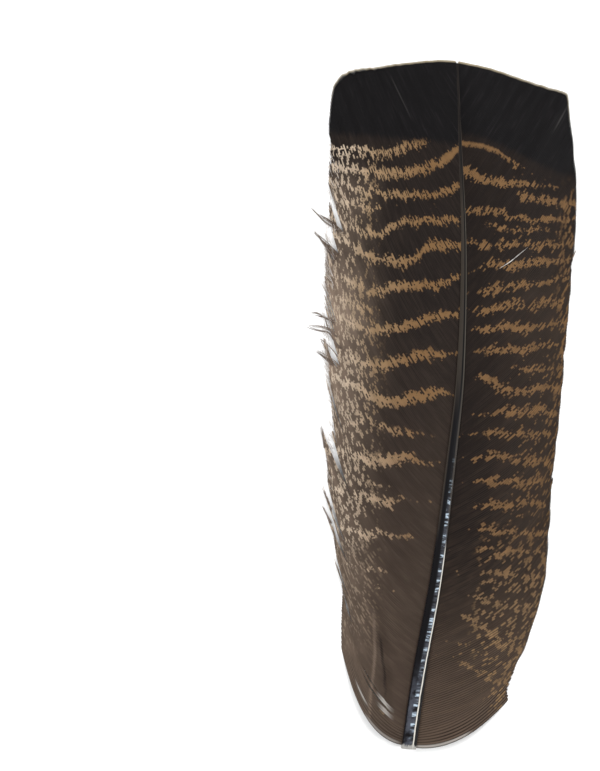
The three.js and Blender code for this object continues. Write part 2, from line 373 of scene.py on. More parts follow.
# Painted sheen: bluish patches just left of the highlight line, light caught on the wavy glossy
# surface. The same bluish grey also marks the dust near the base.
bluish_sheen = tone.speckle(across * 0.8, along * 1.6, 14.0, 2.0).step(0.3, 0.7)
colour = (bluish_sheen * right_half * along.step(10, 22) * along.fall(58, 80) * 0.5).mix(colour, DUST_AND_SHEEN)
beside_line = (across - highlight_place).step(-0.75, -0.6) * (across - highlight_place).fall(-0.2, -0.05)
low_part = along.step(0, 6) * along.fall(66, 86)
colour = (glint_ticks * broken * beside_line * low_part * 0.9).mix(colour, GLINT)
colour = up.fall(-0.7, -0.35).mix(colour, PALE_UNDERSIDE)
frayed = 1 - (along + (tone.speckle(x * 2.5, y * 0.5, z * 2.5) - 0.5) * 2.4).step(-0.1, 0.5)
colour = (frayed * 0.9).mix(colour, CUT_HORN)
join(colour, shader, "Base Color")
join(0.28 + along.step(48, 66) * 0.25 + upper * 0.3, shader, "Roughness")
ridges = tone.speckle(x * 5, y * 0.8, z * 5, 3.0)
bump = tone.node("ShaderNodeBump", {}, {"Strength": 0.25, "Distance": 0.0002, "Height": ridges})
join(bump, shader, "Normal")
belongs(shaft, shaft_finish)

# Pith. Inside its dark wall the real shaft is filled with pale, dry foam, which shows where it was cut
# at the base. It is a low cushion set just inside the wall, a little uneven from the cut.
PITH_INSET = 0.66
PITH_PROUD = 0.06
PITH_DEPTH = 1.5

x, z, width, height = (float(value) for value in shaft_at(SHAFT[0][0]))
start_piece()
bpy.ops.mesh.primitive_uv_sphere_add(
    segments=24, ring_count=12, radius=1, location=placed(x, SHAFT[0][0] + PITH_DEPTH, z),
    rotation=(math.pi / 2, 0, 0),
)
pith = bpy.context.object
bpy.ops.object.transform_apply(location=False, rotation=True, scale=False)
pith.scale = (
    width * MM / 2 * PITH_INSET, (PITH_DEPTH + PITH_PROUD) * MM, height * MM / 2 * PITH_INSET
)
settle(pith, "pith")
bpy.ops.object.shade_smooth()
pith_finish, tone, shader = new_finish("dry_pith", Roughness=0.85, Specular_IOR_Level=0.2)
x, y, z = place_tones(tone)
cells = tone.speckle(x * 4, y * 4, z * 4, 4.0)
join(cells.step(0.35, 0.65).mix(srgb(150, 146, 140), srgb(214, 211, 204)), shader, "Base Color")
bump = tone.node("ShaderNodeBump", {}, {"Strength": 0.6, "Distance": 0.0003, "Height": cells})
join(bump, shader, "Normal")
belongs(pith, pith_finish)

# Vanes. Each real vane is a row of several hundred barbs that grow from the side of the shaft, curve
# out and up to the edge, and hold together by their barbules. Every barb here is its own slim closed
# strip with a ridge on top, a keel below and two skirts that overlap its neighbours.
LEFT_VANE = [
    # y of the root, x and y of the end, angle on leaving the shaft, angle at the edge
    [0.4, -21.6, 27.4, -2, 74],
    [3.6, -22.2, 34.3, 14, 72],
    [9.6, -22.5, 42.5, 22, 72],
    [16.5, -24.6, 52.0, 26, 72],
    [31, -28.7, 74.0, 27, 74],
    [45.5, -29.6, 96.5, 29, 74],
    [57, -32.8, 114.5, 31, 72],
    [68, -33.6, 131.4, 34, 70],
    [80, -34.4, 148.3, 38, 69],
    [92, -34.7, 164.5, 43, 68],
    [102, -35.4, 178, 46, 68],
    [107.5, -34.9, 186, 48, 67],
    [111.5, -33.5, 189.1, 49, 66],
    [118, -31.2, 190.9, 50, 65],
    [128, -28.6, 191.9, 51, 64],
    [139, -25.0, 192.5, 52, 63],
    [150, -21.3, 193.2, 53, 61],
    [160, -17.4, 194.1, 53, 61],
    [170, -12.9, 194.9, 53, 61],
    [180, -8.1, 195.7, 53, 62],
    [188, -4.2, 196.1, 52, 64],
    [194.6, -0.6, 196.1, 50, 70],
]
RIGHT_VANE = [
    [0.4, 27.3, 15.6, -9, 52],
    [4, 28.4, 23.2, 10, 56],
    [10, 31.0, 30.5, 19, 58],
    [20, 34.9, 46.5, 24, 64],
    [30.5, 35.7, 61.5, 25, 67],
    [47, 35.7, 78, 26, 68],
    [64, 36.4, 96, 30, 68],
    [79, 36.8, 114.2, 37, 68],
    [93, 37.0, 132, 43, 67],
    [105.5, 37.3, 148.5, 47, 67],
    [116, 36.8, 162, 51, 67],
    [126, 35.1, 174, 54, 66],
    [133, 33.6, 181.5, 56, 65],
    [138.6, 32.5, 188.2, 57, 65],
    [141.4, 31.2, 189.5, 58, 64],
    [147, 28.2, 190.1, 58, 64],
    [154, 24.2, 191.0, 58, 64],
    [162, 19.7, 192.1, 58, 64],
    [170, 15.0, 193.4, 58, 64],
    [180, 9.2, 194.8, 58, 65],
    [188, 4.8, 195.4, 57, 67],
    [194.6, 0.9, 196.0, 54, 72],
]
HANDLE = 0.36
ROOT_OVERLAP = 0.08
ROOT_HEIGHT = 0.16
EDGE_HEIGHT = 0.2
CAMBER = 0.8
CAMBER_FULL_LENGTH = 20
DOME = 1.3
CREASE = [[6.9, -7.6], [15.7, -8.4], [22.8, -9.4], [29.9, -10.8], [35.5, -12.3]]
CREASE_DEPTH = 0.9
CREASE_BREADTH = 1.7
LOCKS = 30
LOCK_CROWN = 0.15
LOCK_NOTCH = 0.006
BARB_SPACING = [[0, 0.58], [55, 0.56], [100, 0.42], [135, 0.36], [195, 0.34]]
BARB_OVERLAP = 0.68
BARB_HALF_THICKNESS = 0.055
LOW_BARB_EXTRA = 0.045
RINGS = 40
ROOT_STEPS = 2000
# y of the root, and the share of the length that is worn away there, or below 0 that stands out
LEFT_GAPS = [[12.7, 0.035], [17, 0.01], [20.9, -0.02], [24.9, 0.05], [28.4, 0.0], [31, -0.035],
             [33.6, -0.04], [36.5, -0.03], [42.9, 0.055], [51.6, 0.04], [54.4, 0.05], [59.9, 0.08],
             [76.9, 0.055], [82.3, 0.07]]
RIGHT_GAPS = [[2.2, 0.05], [49.6, 0.02], [80.2, 0.02], [100, 0.025]]
GAP_BREADTH = 1.2
BARBS_IN_TUFT = 3
TUFT_WEAR = {-1: 0.02, 1: 0.006}
DRIFT = 0.12
RUFFLE = 0.06
STRAND_NEARNESS = 3
SLIT_FADE = 1.6
STRANDS = [
    # x and y of the root, x and y of the tip, width at the root
    [36.6, 141, 38.4, 146, 0.6],
    [35.9, 84, 37.3, 88, 0.5],
    [36.0, 163.5, 37.6, 168.5, 0.7],
    [-28.6, 143.4, -39.1, 151.9, 1.5],
    [-29.4, 136.4, -37.7, 144.8, 1.7],
    [-28.6, 118.0, -37.0, 121.4, 1.2],
    [-29.2, 115.5, -38.5, 118.1, 1.4],
    [-28.4, 107.6, -35.5, 116.4, 2.0],
    [-27.4, 105.8, -34.5, 110.7, 1.4],
]
SPRUNG_TUFTS = [
    # y of the first and the last root, and how far the last barb's end springs out
    [33, 41.6, 2.6],
    [26.8, 30.0, 1.5],
    [23.0, 26.4, 1.9],
    [47.5, 51.2, 1.0],
    [14.8, 17.2, 0.8],
]
SLITS = {
    # y of the root, share of the way out where it opens and closes, width
    -1: [[6.2, 0.2, 0.6, 0.5], [7.4, 0.25, 0.6, 0.4], [10.8, 0.72, 0.97, 0.6], [59.9, 0.8, 1.0, 0.5],
         [42.9, 0.85, 1.0, 0.5], [76.9, 0.85, 1.0, 0.4]],
    1: [[12, 0.3, 0.97, 0.16], [33, 0.3, 0.8, 0.12], [132, 0.85, 1.0, 0.15]],
}
# Pale barbs. The two low on the left, by the slits, are a painted highlight: a gleam off glossy barbs,
# shown as their colour.
PALE_BARBS = {
    # y of the root, how far to each side, share of the way out where it starts and ends, strength
    -1: [[0.4, 0.12, 0.1, 0.5, 0.3], [4.9, 0.5, 0.2, 0.34, 0.7], [6.6, 0.5, 0.2, 0.36, 0.75],
         [2.0, 0.2, 0.46, 0.66, 0.6], [152.5, 0.2, 0.68, 0.96, 0.05]],
    1: [[0.4, 0.5, 0.05, 0.6, 0.5], [136.8, 0.2, 0.86, 1.02, 0.07]],
}


def smooth(value, low, high):
    """0 below low, 1 above high, and smooth between them."""
    share = np.clip((value - low) / (high - low), 0, 1)
    return share * share * (3 - 2 * share)


def ripple(random, shape_like, *grids, waves=5, fastest=1.0):
    """Soft random unevenness between about -1 and 1, as a sum of slanting waves."""
    total = np.zeros_like(shape_like)
    for _ in range(waves):
        turn = random.uniform(0, 2 * np.pi)
        lean_of = [random.uniform(-fastest, fastest) for _ in grids]
        total += np.sin(turn + sum(rate * grid for rate, grid in zip(lean_of, grids)))
    return total / math.sqrt(waves)


def crease_at(x, y):
    """How far the crease in the lower left vane dips at each point, its line, and where it fades."""
    line = read_table(CREASE, y)[..., 1]
    fade = smooth(y, 4, 10) * (1 - smooth(y, 33, 44))
    dip = CREASE_DEPTH * fade * np.exp(-(((x - line) / CREASE_BREADTH) ** 2))
    return dip, line, fade


def vane_paths(rows, root, share):
    """Middle lines of the barbs, before they are ruffled: x, y and z, a row for each barb."""
    side = np.sign(rows[0][1])
    _, end_x, end_y, leaves, arrives = (column[:, None] for column in read_table(rows, root).T)
    shaft_x, shaft_z, width, height = (column[:, None] for column in shaft_at(root))
    start_x = shaft_x - side * ROOT_OVERLAP * width
    start_y = root[:, None]
    length = np.hypot(end_x - start_x, end_y - start_y)
    leaves, arrives = np.radians(leaves), np.radians(arrives)
    near_x = start_x + side * np.cos(leaves) * HANDLE * length
    near_y = start_y + np.sin(leaves) * HANDLE * length
    far_x = end_x - side * np.cos(arrives) * HANDLE * length
    far_y = end_y - np.sin(arrives) * HANDLE * length
    a, b = (1 - share) ** 3, 3 * (1 - share) ** 2 * share
    c, d = 3 * (1 - share) * share**2, share**3
    x = a * start_x + b * near_x + c * far_x + d * end_x
    y = a * start_y + b * near_y + c * far_y + d * end_y
    fall = (1 - np.cos(np.pi * share**DOME)) / 2
    root_z = shaft_z + ROOT_HEIGHT * height
    camber = CAMBER * np.sin(np.pi * share) * np.minimum(1, length / CAMBER_FULL_LENGTH)
    z = root_z + (EDGE_HEIGHT - root_z) * fall + camber
    if side < 0:
        z = z - crease_at(x, y)[0]
    return x, y, z


def headings(x, y):
    """The unit step along each line at each of its points."""
    ahead_x, ahead_y = np.gradient(x, axis=1), np.gradient(y, axis=1)
    size = np.hypot(ahead_x, ahead_y) + 1e-9
    return ahead_x / size, ahead_y / size


def barb_mesh(name, x, y, z, half_width, lift, fields):
    """One mesh of closed four-cornered strips along the given lines, with numbers at its points."""
    count, rings = x.shape
    ahead_x, ahead_y = headings(x, y)
    flip = np.where(ahead_x < 0, -1.0, 1.0)
    out_x, out_y = -ahead_y * flip, ahead_x * flip
    corners = [(-1, -1.1), (-0.1, 0.9), (1, 0.1), (0, -1.6)]
    points = np.empty((count, rings, 4, 3))
    for corner, (sideways, up) in enumerate(corners):
        points[:, :, corner, 0] = x + out_x * half_width * sideways
        points[:, :, corner, 1] = y + out_y * half_width * sideways
        points[:, :, corner, 2] = np.maximum(z + lift * up, 0.01 * (corner + 1))
    points = points * MM + np.array(DRAWING_ORIGIN)
    number = np.arange(count * rings * 4).reshape(count, rings, 4)
    near, far = number[:, :-1], number[:, 1:]
    walls = np.stack([near, np.roll(near, -1, 2), np.roll(far, -1, 2), far], -1).reshape(-1, 4)
    root_caps = number[:, 0, ::-1]
    tip_caps = number[:, -1]
    faces = np.concatenate([walls, root_caps, tip_caps])
    flat = points.reshape(-1, 3)
    corner = flat[faces]
    volume = np.einsum("ij,ij->i", corner[:, 0], np.cross(corner[:, 1], corner[:, 2])).sum()
    volume += np.einsum("ij,ij->i", corner[:, 0], np.cross(corner[:, 2], corner[:, 3])).sum()
    if volume < 0:
        faces = faces[:, ::-1]
    mesh = bpy.data.meshes.new(name)
    mesh.from_pydata(flat.tolist(), [], faces.tolist())
    for field, values in fields.items():
        set_field(mesh, field, np.repeat(values.ravel(), 4))
    # Painted shade between barbs: each strip's side edges and keel are marked near 1 and its ridge 0,
    # so its colour darkens the gaps.
    set_field(mesh, "groove", np.tile([1.0, 0.0, 0.6, 1.0], count * rings))
    across_map = np.array([0.04, 0.5, 0.96, 0.5])
    strip = (np.arange(count)[:, None, None] + across_map) / count
    reach_map = np.linspace(0.01, 0.99, rings)[None, :, None] + np.zeros((count, 1, 4))
    strip = np.broadcast_to(strip, reach_map.shape).reshape(-1)
    reach_map = reach_map.reshape(-1)
    below = np.zeros(len(faces), bool)
    kind = np.tile(np.arange(4), count * (rings - 1))
    below[: len(kind)] = kind >= 2
    vertex = faces.reshape(-1)
    across_at = strip[vertex]
    along_at = (reach_map[vertex] + np.repeat(~below, 4)) / 2
    layer = mesh.uv_layers.new(name="OFBake")
    layer.uv.foreach_set("vector", np.stack([across_at, along_at], -1).ravel().astype(np.float32))
    mesh.polygons.foreach_set("use_smooth", np.ones(len(faces), bool))
    mesh.update()
    piece = bpy.data.objects.new(name, mesh)
    bpy.context.collection.objects.link(piece)
    return piece


def bend_strands(random, x, y, z, half_width, loose, strands):
    """Turns the outer ends of the barbs in each loose strand out to the strand's tip."""
    count, rings = x.shape
    for root_x, root_y, tip_x, tip_y, width in strands:
        length = math.hypot(tip_x - root_x, tip_y - root_y)
        ahead = np.array([tip_x - root_x, tip_y - root_y]) / length
        aside = np.array([-ahead[1], ahead[0]])
        forward = (x - root_x) * ahead[0] + (y - root_y) * ahead[1]
        sideways = (x - root_x) * aside[0] + (y - root_y) * aside[1]
        for barb in range(count):
            passed = np.nonzero(forward[barb] > 0)[0]
            if len(passed) == 0 or passed[0] < 2:
                continue
            first = passed[0]
            offset = sideways[barb, first]
            if abs(offset) > width / 2 or abs(x[barb, first] - root_x) > STRAND_NEARNESS:
                continue
            start = np.array([x[barb, first], y[barb, first]])
            before = start - np.array([x[barb, first - 1], y[barb, first - 1]])
            before /= np.hypot(*before)
            end = np.array([tip_x, tip_y]) + aside * offset * random.uniform(0.02, 0.22)
            end = end - ahead * length * random.uniform(0, 0.4)
            knee = start + before * np.hypot(*(end - start)) * 0.35
            share = np.linspace(0, 1, rings - first)[:, None]
            path = (1 - share) ** 2 * start + 2 * (1 - share) * share * knee + share**2 * end
            x[barb, first:], y[barb, first:] = path.T
            height = z[barb, first] * (1 - share[:, 0]) + random.uniform(0.1, 0.9) * share[:, 0]
            z[barb, first:] = height
            half_width[barb, first:] *= 1 - 0.45 * smooth(share[:, 0], 0, 0.5)
            loose[barb, first:] = smooth(share[:, 0], 0, 0.4)


def open_slits(side, root, share, x, y):
    """Parts the barbs on either side of each slit."""
    for slit_root, opens, closes, width in SLITS[side]:
        inside = np.clip((share - opens) / (closes - opens), 0, 1)
        window = np.sin(np.pi * inside) ** 2
        apart = root[:, None] - slit_root
        push = np.sign(apart) * width / 2 * window * np.exp(-np.abs(apart) / SLIT_FADE)
        ahead_x, ahead_y = headings(x, y)
        push = push * np.where(ahead_x * side < 0, -1.0, 1.0) * side
        x += -ahead_y * push
        y += ahead_x * push


def read_bars(bars, x, y):
    """Where points lie among the bars: bar number, spacing, half thickness and strength."""
    first, last = bars[0], bars[-1]
    beyond = 30
    above = [first[0], [[px, py + beyond, 0] for px, py, _ in first[1]]]
    below = [last[0], [[px, py - beyond, 0] for px, py, _ in last[1]]]
    every = [above, *bars, below]
    columns = [np.array(points, float).T for _, points in every]
    middle = np.stack([np.interp(x, column[0], column[1]) for column in columns])
    strength = np.stack([np.interp(x, column[0], column[2]) for column in columns])
    half = np.array([bar[0] for bar in every], float)
    over = np.clip((y[None] < middle).sum(0) - 1, 0, len(every) - 2)
    top = np.take_along_axis(middle, over[None], 0)[0]
    bottom = np.take_along_axis(middle, over[None] + 1, 0)[0]
    spacing = np.maximum(top - bottom, 0.5)
    share = np.clip((top - y) / spacing, 0, 1)
    strength_top = np.take_along_axis(strength, over[None], 0)[0]
    strength_bottom = np.take_along_axis(strength, over[None] + 1, 0)[0]
    nearer = smooth(share, 0.4, 0.6)
    return {
        "bar": over + share,
        "bar_spacing": spacing,
        "bar_half": half[over] * (1 - nearer) + half[over + 1] * nearer,
        "bar_strength": strength_top * (1 - nearer) + strength_bottom * nearer,
    }


LEFT_BARS = [
    # half thickness, then x, y and strength at points along the bar
    [1.5, [[-34, 168, 1], [-30, 168.3, 1.05], [-26, 168.3, 1.05], [-22, 167.7, 1], [-18, 167.7, 1],
        [-14, 170, 1], [-10, 171.7, 1], [-7, 172.3, 0.9], [-5.5, 172.5, 0.1], [4, 173, 0]]],
    [1.7, [[-33, 164, 1], [-28, 162.8, 1], [-24, 162.3, 1], [-18, 162, 1], [-12, 162.8, 1],
        [-7, 164.5, 1], [-3, 166.5, 1.1], [0, 168.6, 1.4], [2, 171.5, 1.5]]],
    [1.4, [[-33, 159.5, 0.9], [-28, 158, 1], [-24, 157, 1], [-18, 156, 1], [-12, 156, 1], [-6, 156, 1],
        [-1, 157.5, 1], [2, 160, 1]]],
    [1.4, [[-33, 154.5, 0.8], [-29, 153.5, 1], [-25, 153, 1], [-22, 152, 1], [-19, 152.3, 0.7],
        [-17.5, 152.6, 0], [4, 153.5, 0]]],
    [1.4, [[-31, 148.5, 0.9], [-28, 147, 1], [-24, 145.5, 1], [-20, 145, 1], [-17, 145.5, 1],
        [-15, 147.5, 1], [-12, 149, 1], [-8, 149.5, 1], [-3, 149.7, 1], [1, 150, 1], [4, 150, 0.8]]],
    [1.6, [[-31, 143.5, 0.8], [-27, 141.5, 0.9], [-24, 140, 1], [-22, 139, 1], [-19, 137.8, 1],
        [-15, 137, 1], [-11, 137.3, 1], [-8, 139, 1], [-6, 141.5, 1], [-4, 142.8, 1], [0, 142.8, 1],
        [3, 142.8, 0.9]]],
    [1.5, [[-32, 132, 0.7], [-27, 130.5, 0.9], [-23, 129.5, 1], [-20, 128.5, 1], [-17, 128, 1],
        [-15, 130, 1], [-10, 130.8, 1], [-5, 131.3, 1], [-2, 131, 1], [2, 132, 1], [4, 134.5, 0.7]]],
    [1.1, [[-33, 127.5, 0.7], [-26, 125, 1], [-21, 123.5, 0.9], [-18, 123, 0.4], [-16.5, 123.5, 0],
        [5, 128, 0]]],
    [1.7, [[-33, 121.5, 0.7], [-27, 120, 0.9], [-22, 118.5, 1], [-17, 117.8, 1], [-13, 118.5, 1],
        [-9, 119.5, 1], [-5, 121.8, 1], [0, 123, 1], [4, 124, 0.8]]],
    [1.6, [[-30, 112, 0.7], [-26, 110.5, 0.8], [-23, 108, 1], [-19, 107.5, 1], [-15, 107.5, 1],
        [-11, 109, 1], [-7, 111, 1], [-3, 111.3, 1], [1, 111.3, 0.9], [4, 112.8, 0.3]]],
    [1.9, [[-27, 103, 0.8], [-23, 101.5, 0.8], [-18, 99, 1], [-14, 97.5, 1], [-10, 98.2, 1],
        [-6, 99, 1], [-2, 100.5, 0.9], [3, 101, 0.5], [6, 101, 0]]],
    [1.2, [[-27, 92.5, 0.8], [-23, 90.5, 0.9], [-18, 91.5, 0.9], [-14, 90, 0.9], [-10, 89.2, 0.8],
        [-6, 89, 1], [-2, 89, 0.5], [1, 88, 0.5], [4, 88, 0]]],
    [1.9, [[-25, 82, 0.8], [-20, 81, 0.9], [-16, 80.5, 1], [-12, 80.5, 1], [-9, 81.5, 1],
        [-6, 82.5, 0.8], [-3, 80.5, 0.5], [0, 81.3, 0.5], [3, 81, 0]]],
    [1.0, [[-26, 77.5, 0.7], [-22, 76, 0.7], [-18, 74, 0.9], [-15, 73.8, 0.9], [-11, 73, 0.5],
        [-8, 74.5, 0], [4, 75.5, 0]]],
    [1.6, [[-25, 71, 0.7], [-18, 70, 0.8], [-14, 69, 1], [-10, 69, 1], [-8, 70.5, 0.5], [-5, 70, 0.1],
        [5, 70, 0]]],
    [1.6, [[-25, 60.5, 0.7], [-20, 60, 0.75], [-16, 59.5, 0.85], [-12, 60, 0.6], [-9, 59, 0.45],
        [-5, 60, 0.7], [-2, 60, 0]]],
    [1.4, [[-24, 51, 0.3], [-18, 50, 0.55], [-12, 50, 0.5], [-7, 49, 0.1], [0, 49, 0]]],
    [1.2, [[-22, 45, 0.3], [-15, 45, 0.4], [-8, 44, 0.3], [-3, 44, 0]]],
]
RIGHT_BARS = [
    [0.8, [[2, 172.3, 1.5], [8, 172, 1.6], [13, 170.7, 1.5], [17, 168, 1.3], [20, 166, 0.8],
        [24, 165, 0.4], [28, 164.8, 0.1], [36, 164.5, 0]]],
    [1.6, [[3, 165.5, 1], [6, 163.8, 1], [10, 162.2, 1], [15, 161.5, 1], [19, 161.3, 0.9],
        [23, 161.7, 0.7], [26, 162.2, 0.4], [30, 162.3, 0.35], [33, 162, 0.2], [37, 161.5, 0]]],
    [1.5, [[3, 158, 0], [19, 158, 0], [20.5, 157.8, 1], [24, 158, 1], [28, 158, 1], [31, 157.5, 0.8],
        [36, 157, 0.7]]],
    [1.2, [[4, 153, 0.1], [6, 153, 1], [12, 153.5, 1], [15, 153.5, 1], [17, 152.4, 0.8],
        [20, 151.7, 0.9], [24, 151.5, 0.9], [28, 152.5, 0.9], [32, 153.3, 1], [36, 153, 0.8]]],
    [0.9, [[4, 149.5, 0], [9, 149.8, 0], [12, 150, 0.7], [15, 149, 0.9], [18, 148.5, 0.9],
        [22, 148.5, 0.9], [25, 149.2, 0.8], [29, 149.6, 0.6], [33, 149.5, 0.6], [37, 149, 0.5]]],
    [1.2, [[5, 144.5, 0.4], [7, 144.5, 1], [9, 143.5, 0.9], [12, 143.5, 1], [16, 143.5, 1],
        [19, 144.8, 0.9], [23, 145, 1], [26, 144.5, 1], [31, 146, 1], [36, 146, 0.8]]],
    [1.4, [[6, 135.5, 0], [9, 136, 0.3], [12, 137.5, 0.7], [15, 138.5, 1], [19, 138, 1], [23, 138.8, 1],
        [26, 140, 1], [30, 140.5, 0.9], [34, 141.5, 0.8], [37, 142, 0.6]]],
    [1.2, [[7, 129.5, 0], [10, 129.5, 0.6], [13, 130.5, 0.9], [16, 132, 1], [20, 132.3, 1],
        [24, 133, 1], [28, 134, 0.8], [32, 135.5, 0.9], [37, 137, 0.7]]],
    [1.3, [[8, 125, 0.3], [12, 125.5, 1], [15, 125.5, 1], [18, 127, 1], [22, 127.3, 1],
        [25, 126.5, 0.9], [29, 128.5, 1], [33, 129, 0.9], [37, 131, 0.7]]],
    [1.3, [[8, 119.5, 0.1], [11, 120, 0.8], [15, 120.3, 1], [20, 121, 1], [24, 121, 1],
        [28, 122.3, 0.9], [32, 122.5, 0.8], [36, 123.5, 0.7]]],
    [1.4, [[9, 113, 0], [13, 113.5, 0.8], [17, 114.5, 0.9], [21, 114.8, 1], [25, 114.4, 1],
        [28, 116, 0.8], [30, 117.2, 0.8], [34, 117, 0.6], [37, 117, 0.4]]],
    [0.9, [[10, 109.8, 0], [20, 109.8, 0], [22, 109.5, 0.6], [26, 109.3, 1], [30, 109.8, 0.9],
        [34, 110, 0.6], [37, 110, 0.4]]],
    [1.5, [[9, 105.5, 0], [13, 106, 0.9], [17, 104.5, 1], [20, 102.8, 1], [23, 102.4, 0.8],
        [26, 103.5, 0.8], [30, 104.3, 0.9], [35, 104.5, 0.7]]],
    [1.5, [[12, 95.5, 0], [14, 95.5, 0.4], [16, 96, 0.4], [18, 96.8, 0.8], [22, 97.3, 1], [26, 97.5, 1],
        [30, 98, 1], [35, 97, 0.7]]],
    [1.1, [[10, 89.5, 0.1], [14, 90, 0.8], [18, 90.8, 0.9], [22, 91, 0.9], [27, 90.7, 1], [31, 91, 0.8],
        [35, 91.5, 0.7]]],
    [1.4, [[10, 83, 0], [12.5, 83, 0.7], [15, 84, 0.5], [17, 85, 0.9], [21, 84, 1], [25, 83.7, 1],
        [29, 83.5, 0.9], [34, 83, 0.7]]],
    [1.2, [[11, 76, 0.2], [15, 76.8, 1], [19, 76.8, 1], [23, 77.3, 1], [27, 76.5, 1], [31, 77.5, 0.9],
        [35, 78, 0.7]]],
    [1.4, [[10, 69.3, 0], [14, 69.8, 0.6], [19, 70.5, 0.9], [23, 70, 0.9], [27, 71.5, 0.9],
        [31, 71.5, 0.8], [35, 70.5, 0.7]]],
    [1.4, [[13, 63, 0], [16, 63.5, 0.9], [20, 62.5, 0.8], [25, 62.8, 0.8], [30, 62.5, 0.7],
        [35, 63, 0.7]]],
    [1.4, [[13, 57, 0], [17, 57.3, 0.8], [21, 56.8, 0.7], [26, 57.5, 0.9], [31, 57.5, 0.7],
        [35, 57, 0.7]]],
    [1.3, [[14, 50, 0], [18, 50.5, 0.4], [24, 51, 0.7], [30, 50, 0.7], [35, 50, 0.6]]],
    [1.3, [[12, 44, 0], [16, 43.5, 0.7], [20, 42.5, 0.6], [26, 41.5, 0.8], [34, 42, 0.6]]],
    [1.5, [[11, 38.5, 0], [13, 37.8, 0.8], [17, 35.6, 0.9], [22, 32.4, 1], [27, 29.6, 0.8],
        [31, 28.5, 0.5]]],
    [1.2, [[10, 31, 0], [14, 29.5, 0.6], [18, 27.8, 0.4], [23, 25.5, 0.7], [29, 22.5, 0.5]]],
    [1.3, [[10, 26.5, 0], [12.5, 26, 0.7], [15, 24, 0.8], [19, 21.8, 0.7], [24, 19.5, 0.8],
        [28, 17.5, 0.5]]],
]


def make_vane(name, rows, side, gaps, bars, seed):
    """All the barbs of one vane, each with its place among the markings."""
    random = np.random.default_rng(seed)
    first, last = rows[0][0], rows[-1][0]
    fine = np.linspace(first, last, ROOT_STEPS)
    closeness = np.cos(np.radians(read_table(rows, fine)[:, 3]))
    spacing = np.interp(fine, *np.array(BARB_SPACING).T)
    aside = np.cumsum(closeness) * (fine[1] - fine[0])
    barb_count = np.cumsum(closeness / spacing) * (fine[1] - fine[0])
    count = int(barb_count[-1])
    root = np.interp(np.linspace(barb_count[0], barb_count[-1], count), barb_count, fine)
    ring = np.linspace(0, 1, RINGS)[None, :]
    lock = np.cos(2 * np.pi * (root - first) / (last - first) * LOCKS)
    worn = 1 - smooth(root, 97, 105)
    tufts = random.uniform(0, TUFT_WEAR[side], count // BARBS_IN_TUFT + 1)
    tufts = np.repeat(tufts, BARBS_IN_TUFT)[:count]
    reach = 1 - LOCK_NOTCH * (0.5 + 0.5 * lock) * (0.3 + 0.7 * worn)
    reach -= random.uniform(0, 0.002, count) + (tufts + random.uniform(0, 0.004, count)) * worn
    for gap, loss in gaps:
        reach -= loss * np.exp(-(((root - gap) / GAP_BREADTH) ** 2))
    share = ring * reach[:, None]
    x, y, z = vane_paths(rows, root, share)
    ahead_x, ahead_y = headings(x, y)
    apart = np.abs(np.gradient(x, axis=0) * -ahead_y + np.gradient(y, axis=0) * ahead_x)
    half_width = np.clip(apart, 0.1, 0.8) * BARB_OVERLAP
    fields = read_bars(bars, x, y)
    fields["drawn_x"], fields["drawn_y"] = x.copy(), y.copy()
    step = np.hypot(np.diff(x, axis=1), np.diff(y, axis=1))
    fields["along"] = np.concatenate([np.zeros((count, 1)), np.cumsum(step, 1)], 1)
    fields["barb"] = np.broadcast_to(np.interp(root, fine, aside)[:, None], x.shape)
    fields["out"] = share.copy()
    fields["to_end"] = fields["along"][:, -1:] - fields["along"]
    grid_root = np.broadcast_to(root[:, None], x.shape)
    fields["pale"] = np.zeros(x.shape)
    for pale_root, reach_aside, opens, closes, strength in PALE_BARBS[side]:
        inside = smooth(share, opens - 0.05, opens + 0.05) * (1 - smooth(share, closes - 0.1, closes))
        near = 1 - smooth(np.abs(grid_root - pale_root), reach_aside * 0.8, reach_aside * 1.2)
        fields["pale"] = np.maximum(fields["pale"], strength * inside * near)
    # Painted shade and light at the crease: the field is positive along the crease, where the colour is
    # darkened as painted shade, and negative on a line to its left, where it is lightened as a painted
    # highlight on the ridge.
    fields["crease"] = np.zeros(x.shape)
    if side < 0:
        line, fade = crease_at(x, y)[1:]
        dark_part = smooth(y, 11, 17) * (1 - smooth(y, 29, 34))
        ridge = line - 0.8 - 3.8 * (1 - smooth(y, 8, 38))
        fields["crease"] = dark_part * np.exp(-(((x - line) / 0.45) ** 2))
        fields["crease"] -= 0.8 * fade * np.exp(-(((x - ridge) / 0.45) ** 2))
    drift = DRIFT * ripple(random, x, grid_root, share * 6, waves=7, fastest=0.7)
    x += -ahead_y * drift
    y += ahead_x * drift
    open_slits(side, root, share, x, y)
    if side < 0:
        for first_root, last_root, spring in SPRUNG_TUFTS:
            inside = np.clip((root - first_root) / (last_root - first_root), 0, 1) * (root <= last_root)
            x -= spring * inside[:, None] ** 1.3 * smooth(share, 0.62, 1.0)
    grow = np.minimum(1, share / 0.3)
    crown = LOCK_CROWN * (1 - 0.6 * smooth(grid_root, 85, 125))
    z += -crown * lock[:, None] * grow
    z += RUFFLE * ripple(random, x, grid_root, share * 8, waves=7, fastest=0.7) * grow
    low_part = 1 - smooth(grid_root, 40, 100)
    z += random.uniform(-0.01, 0.01, count)[:, None] * grow * (0.5 + low_part)
    taper = 1 - 0.5 * smooth(np.broadcast_to(ring, x.shape), 0.97, 1.0)
    half_width = half_width * taper
    own_strands = [strand for strand in STRANDS if strand[0] * side > 0]
    fields["loose"] = np.zeros(x.shape)
    bend_strands(random, x, y, z, half_width, fields["loose"], own_strands)
    lift = BARB_HALF_THICKNESS + LOW_BARB_EXTRA * low_part - 0.02 * share
    return barb_mesh(name, x, y, z, half_width, lift * taper, fields)


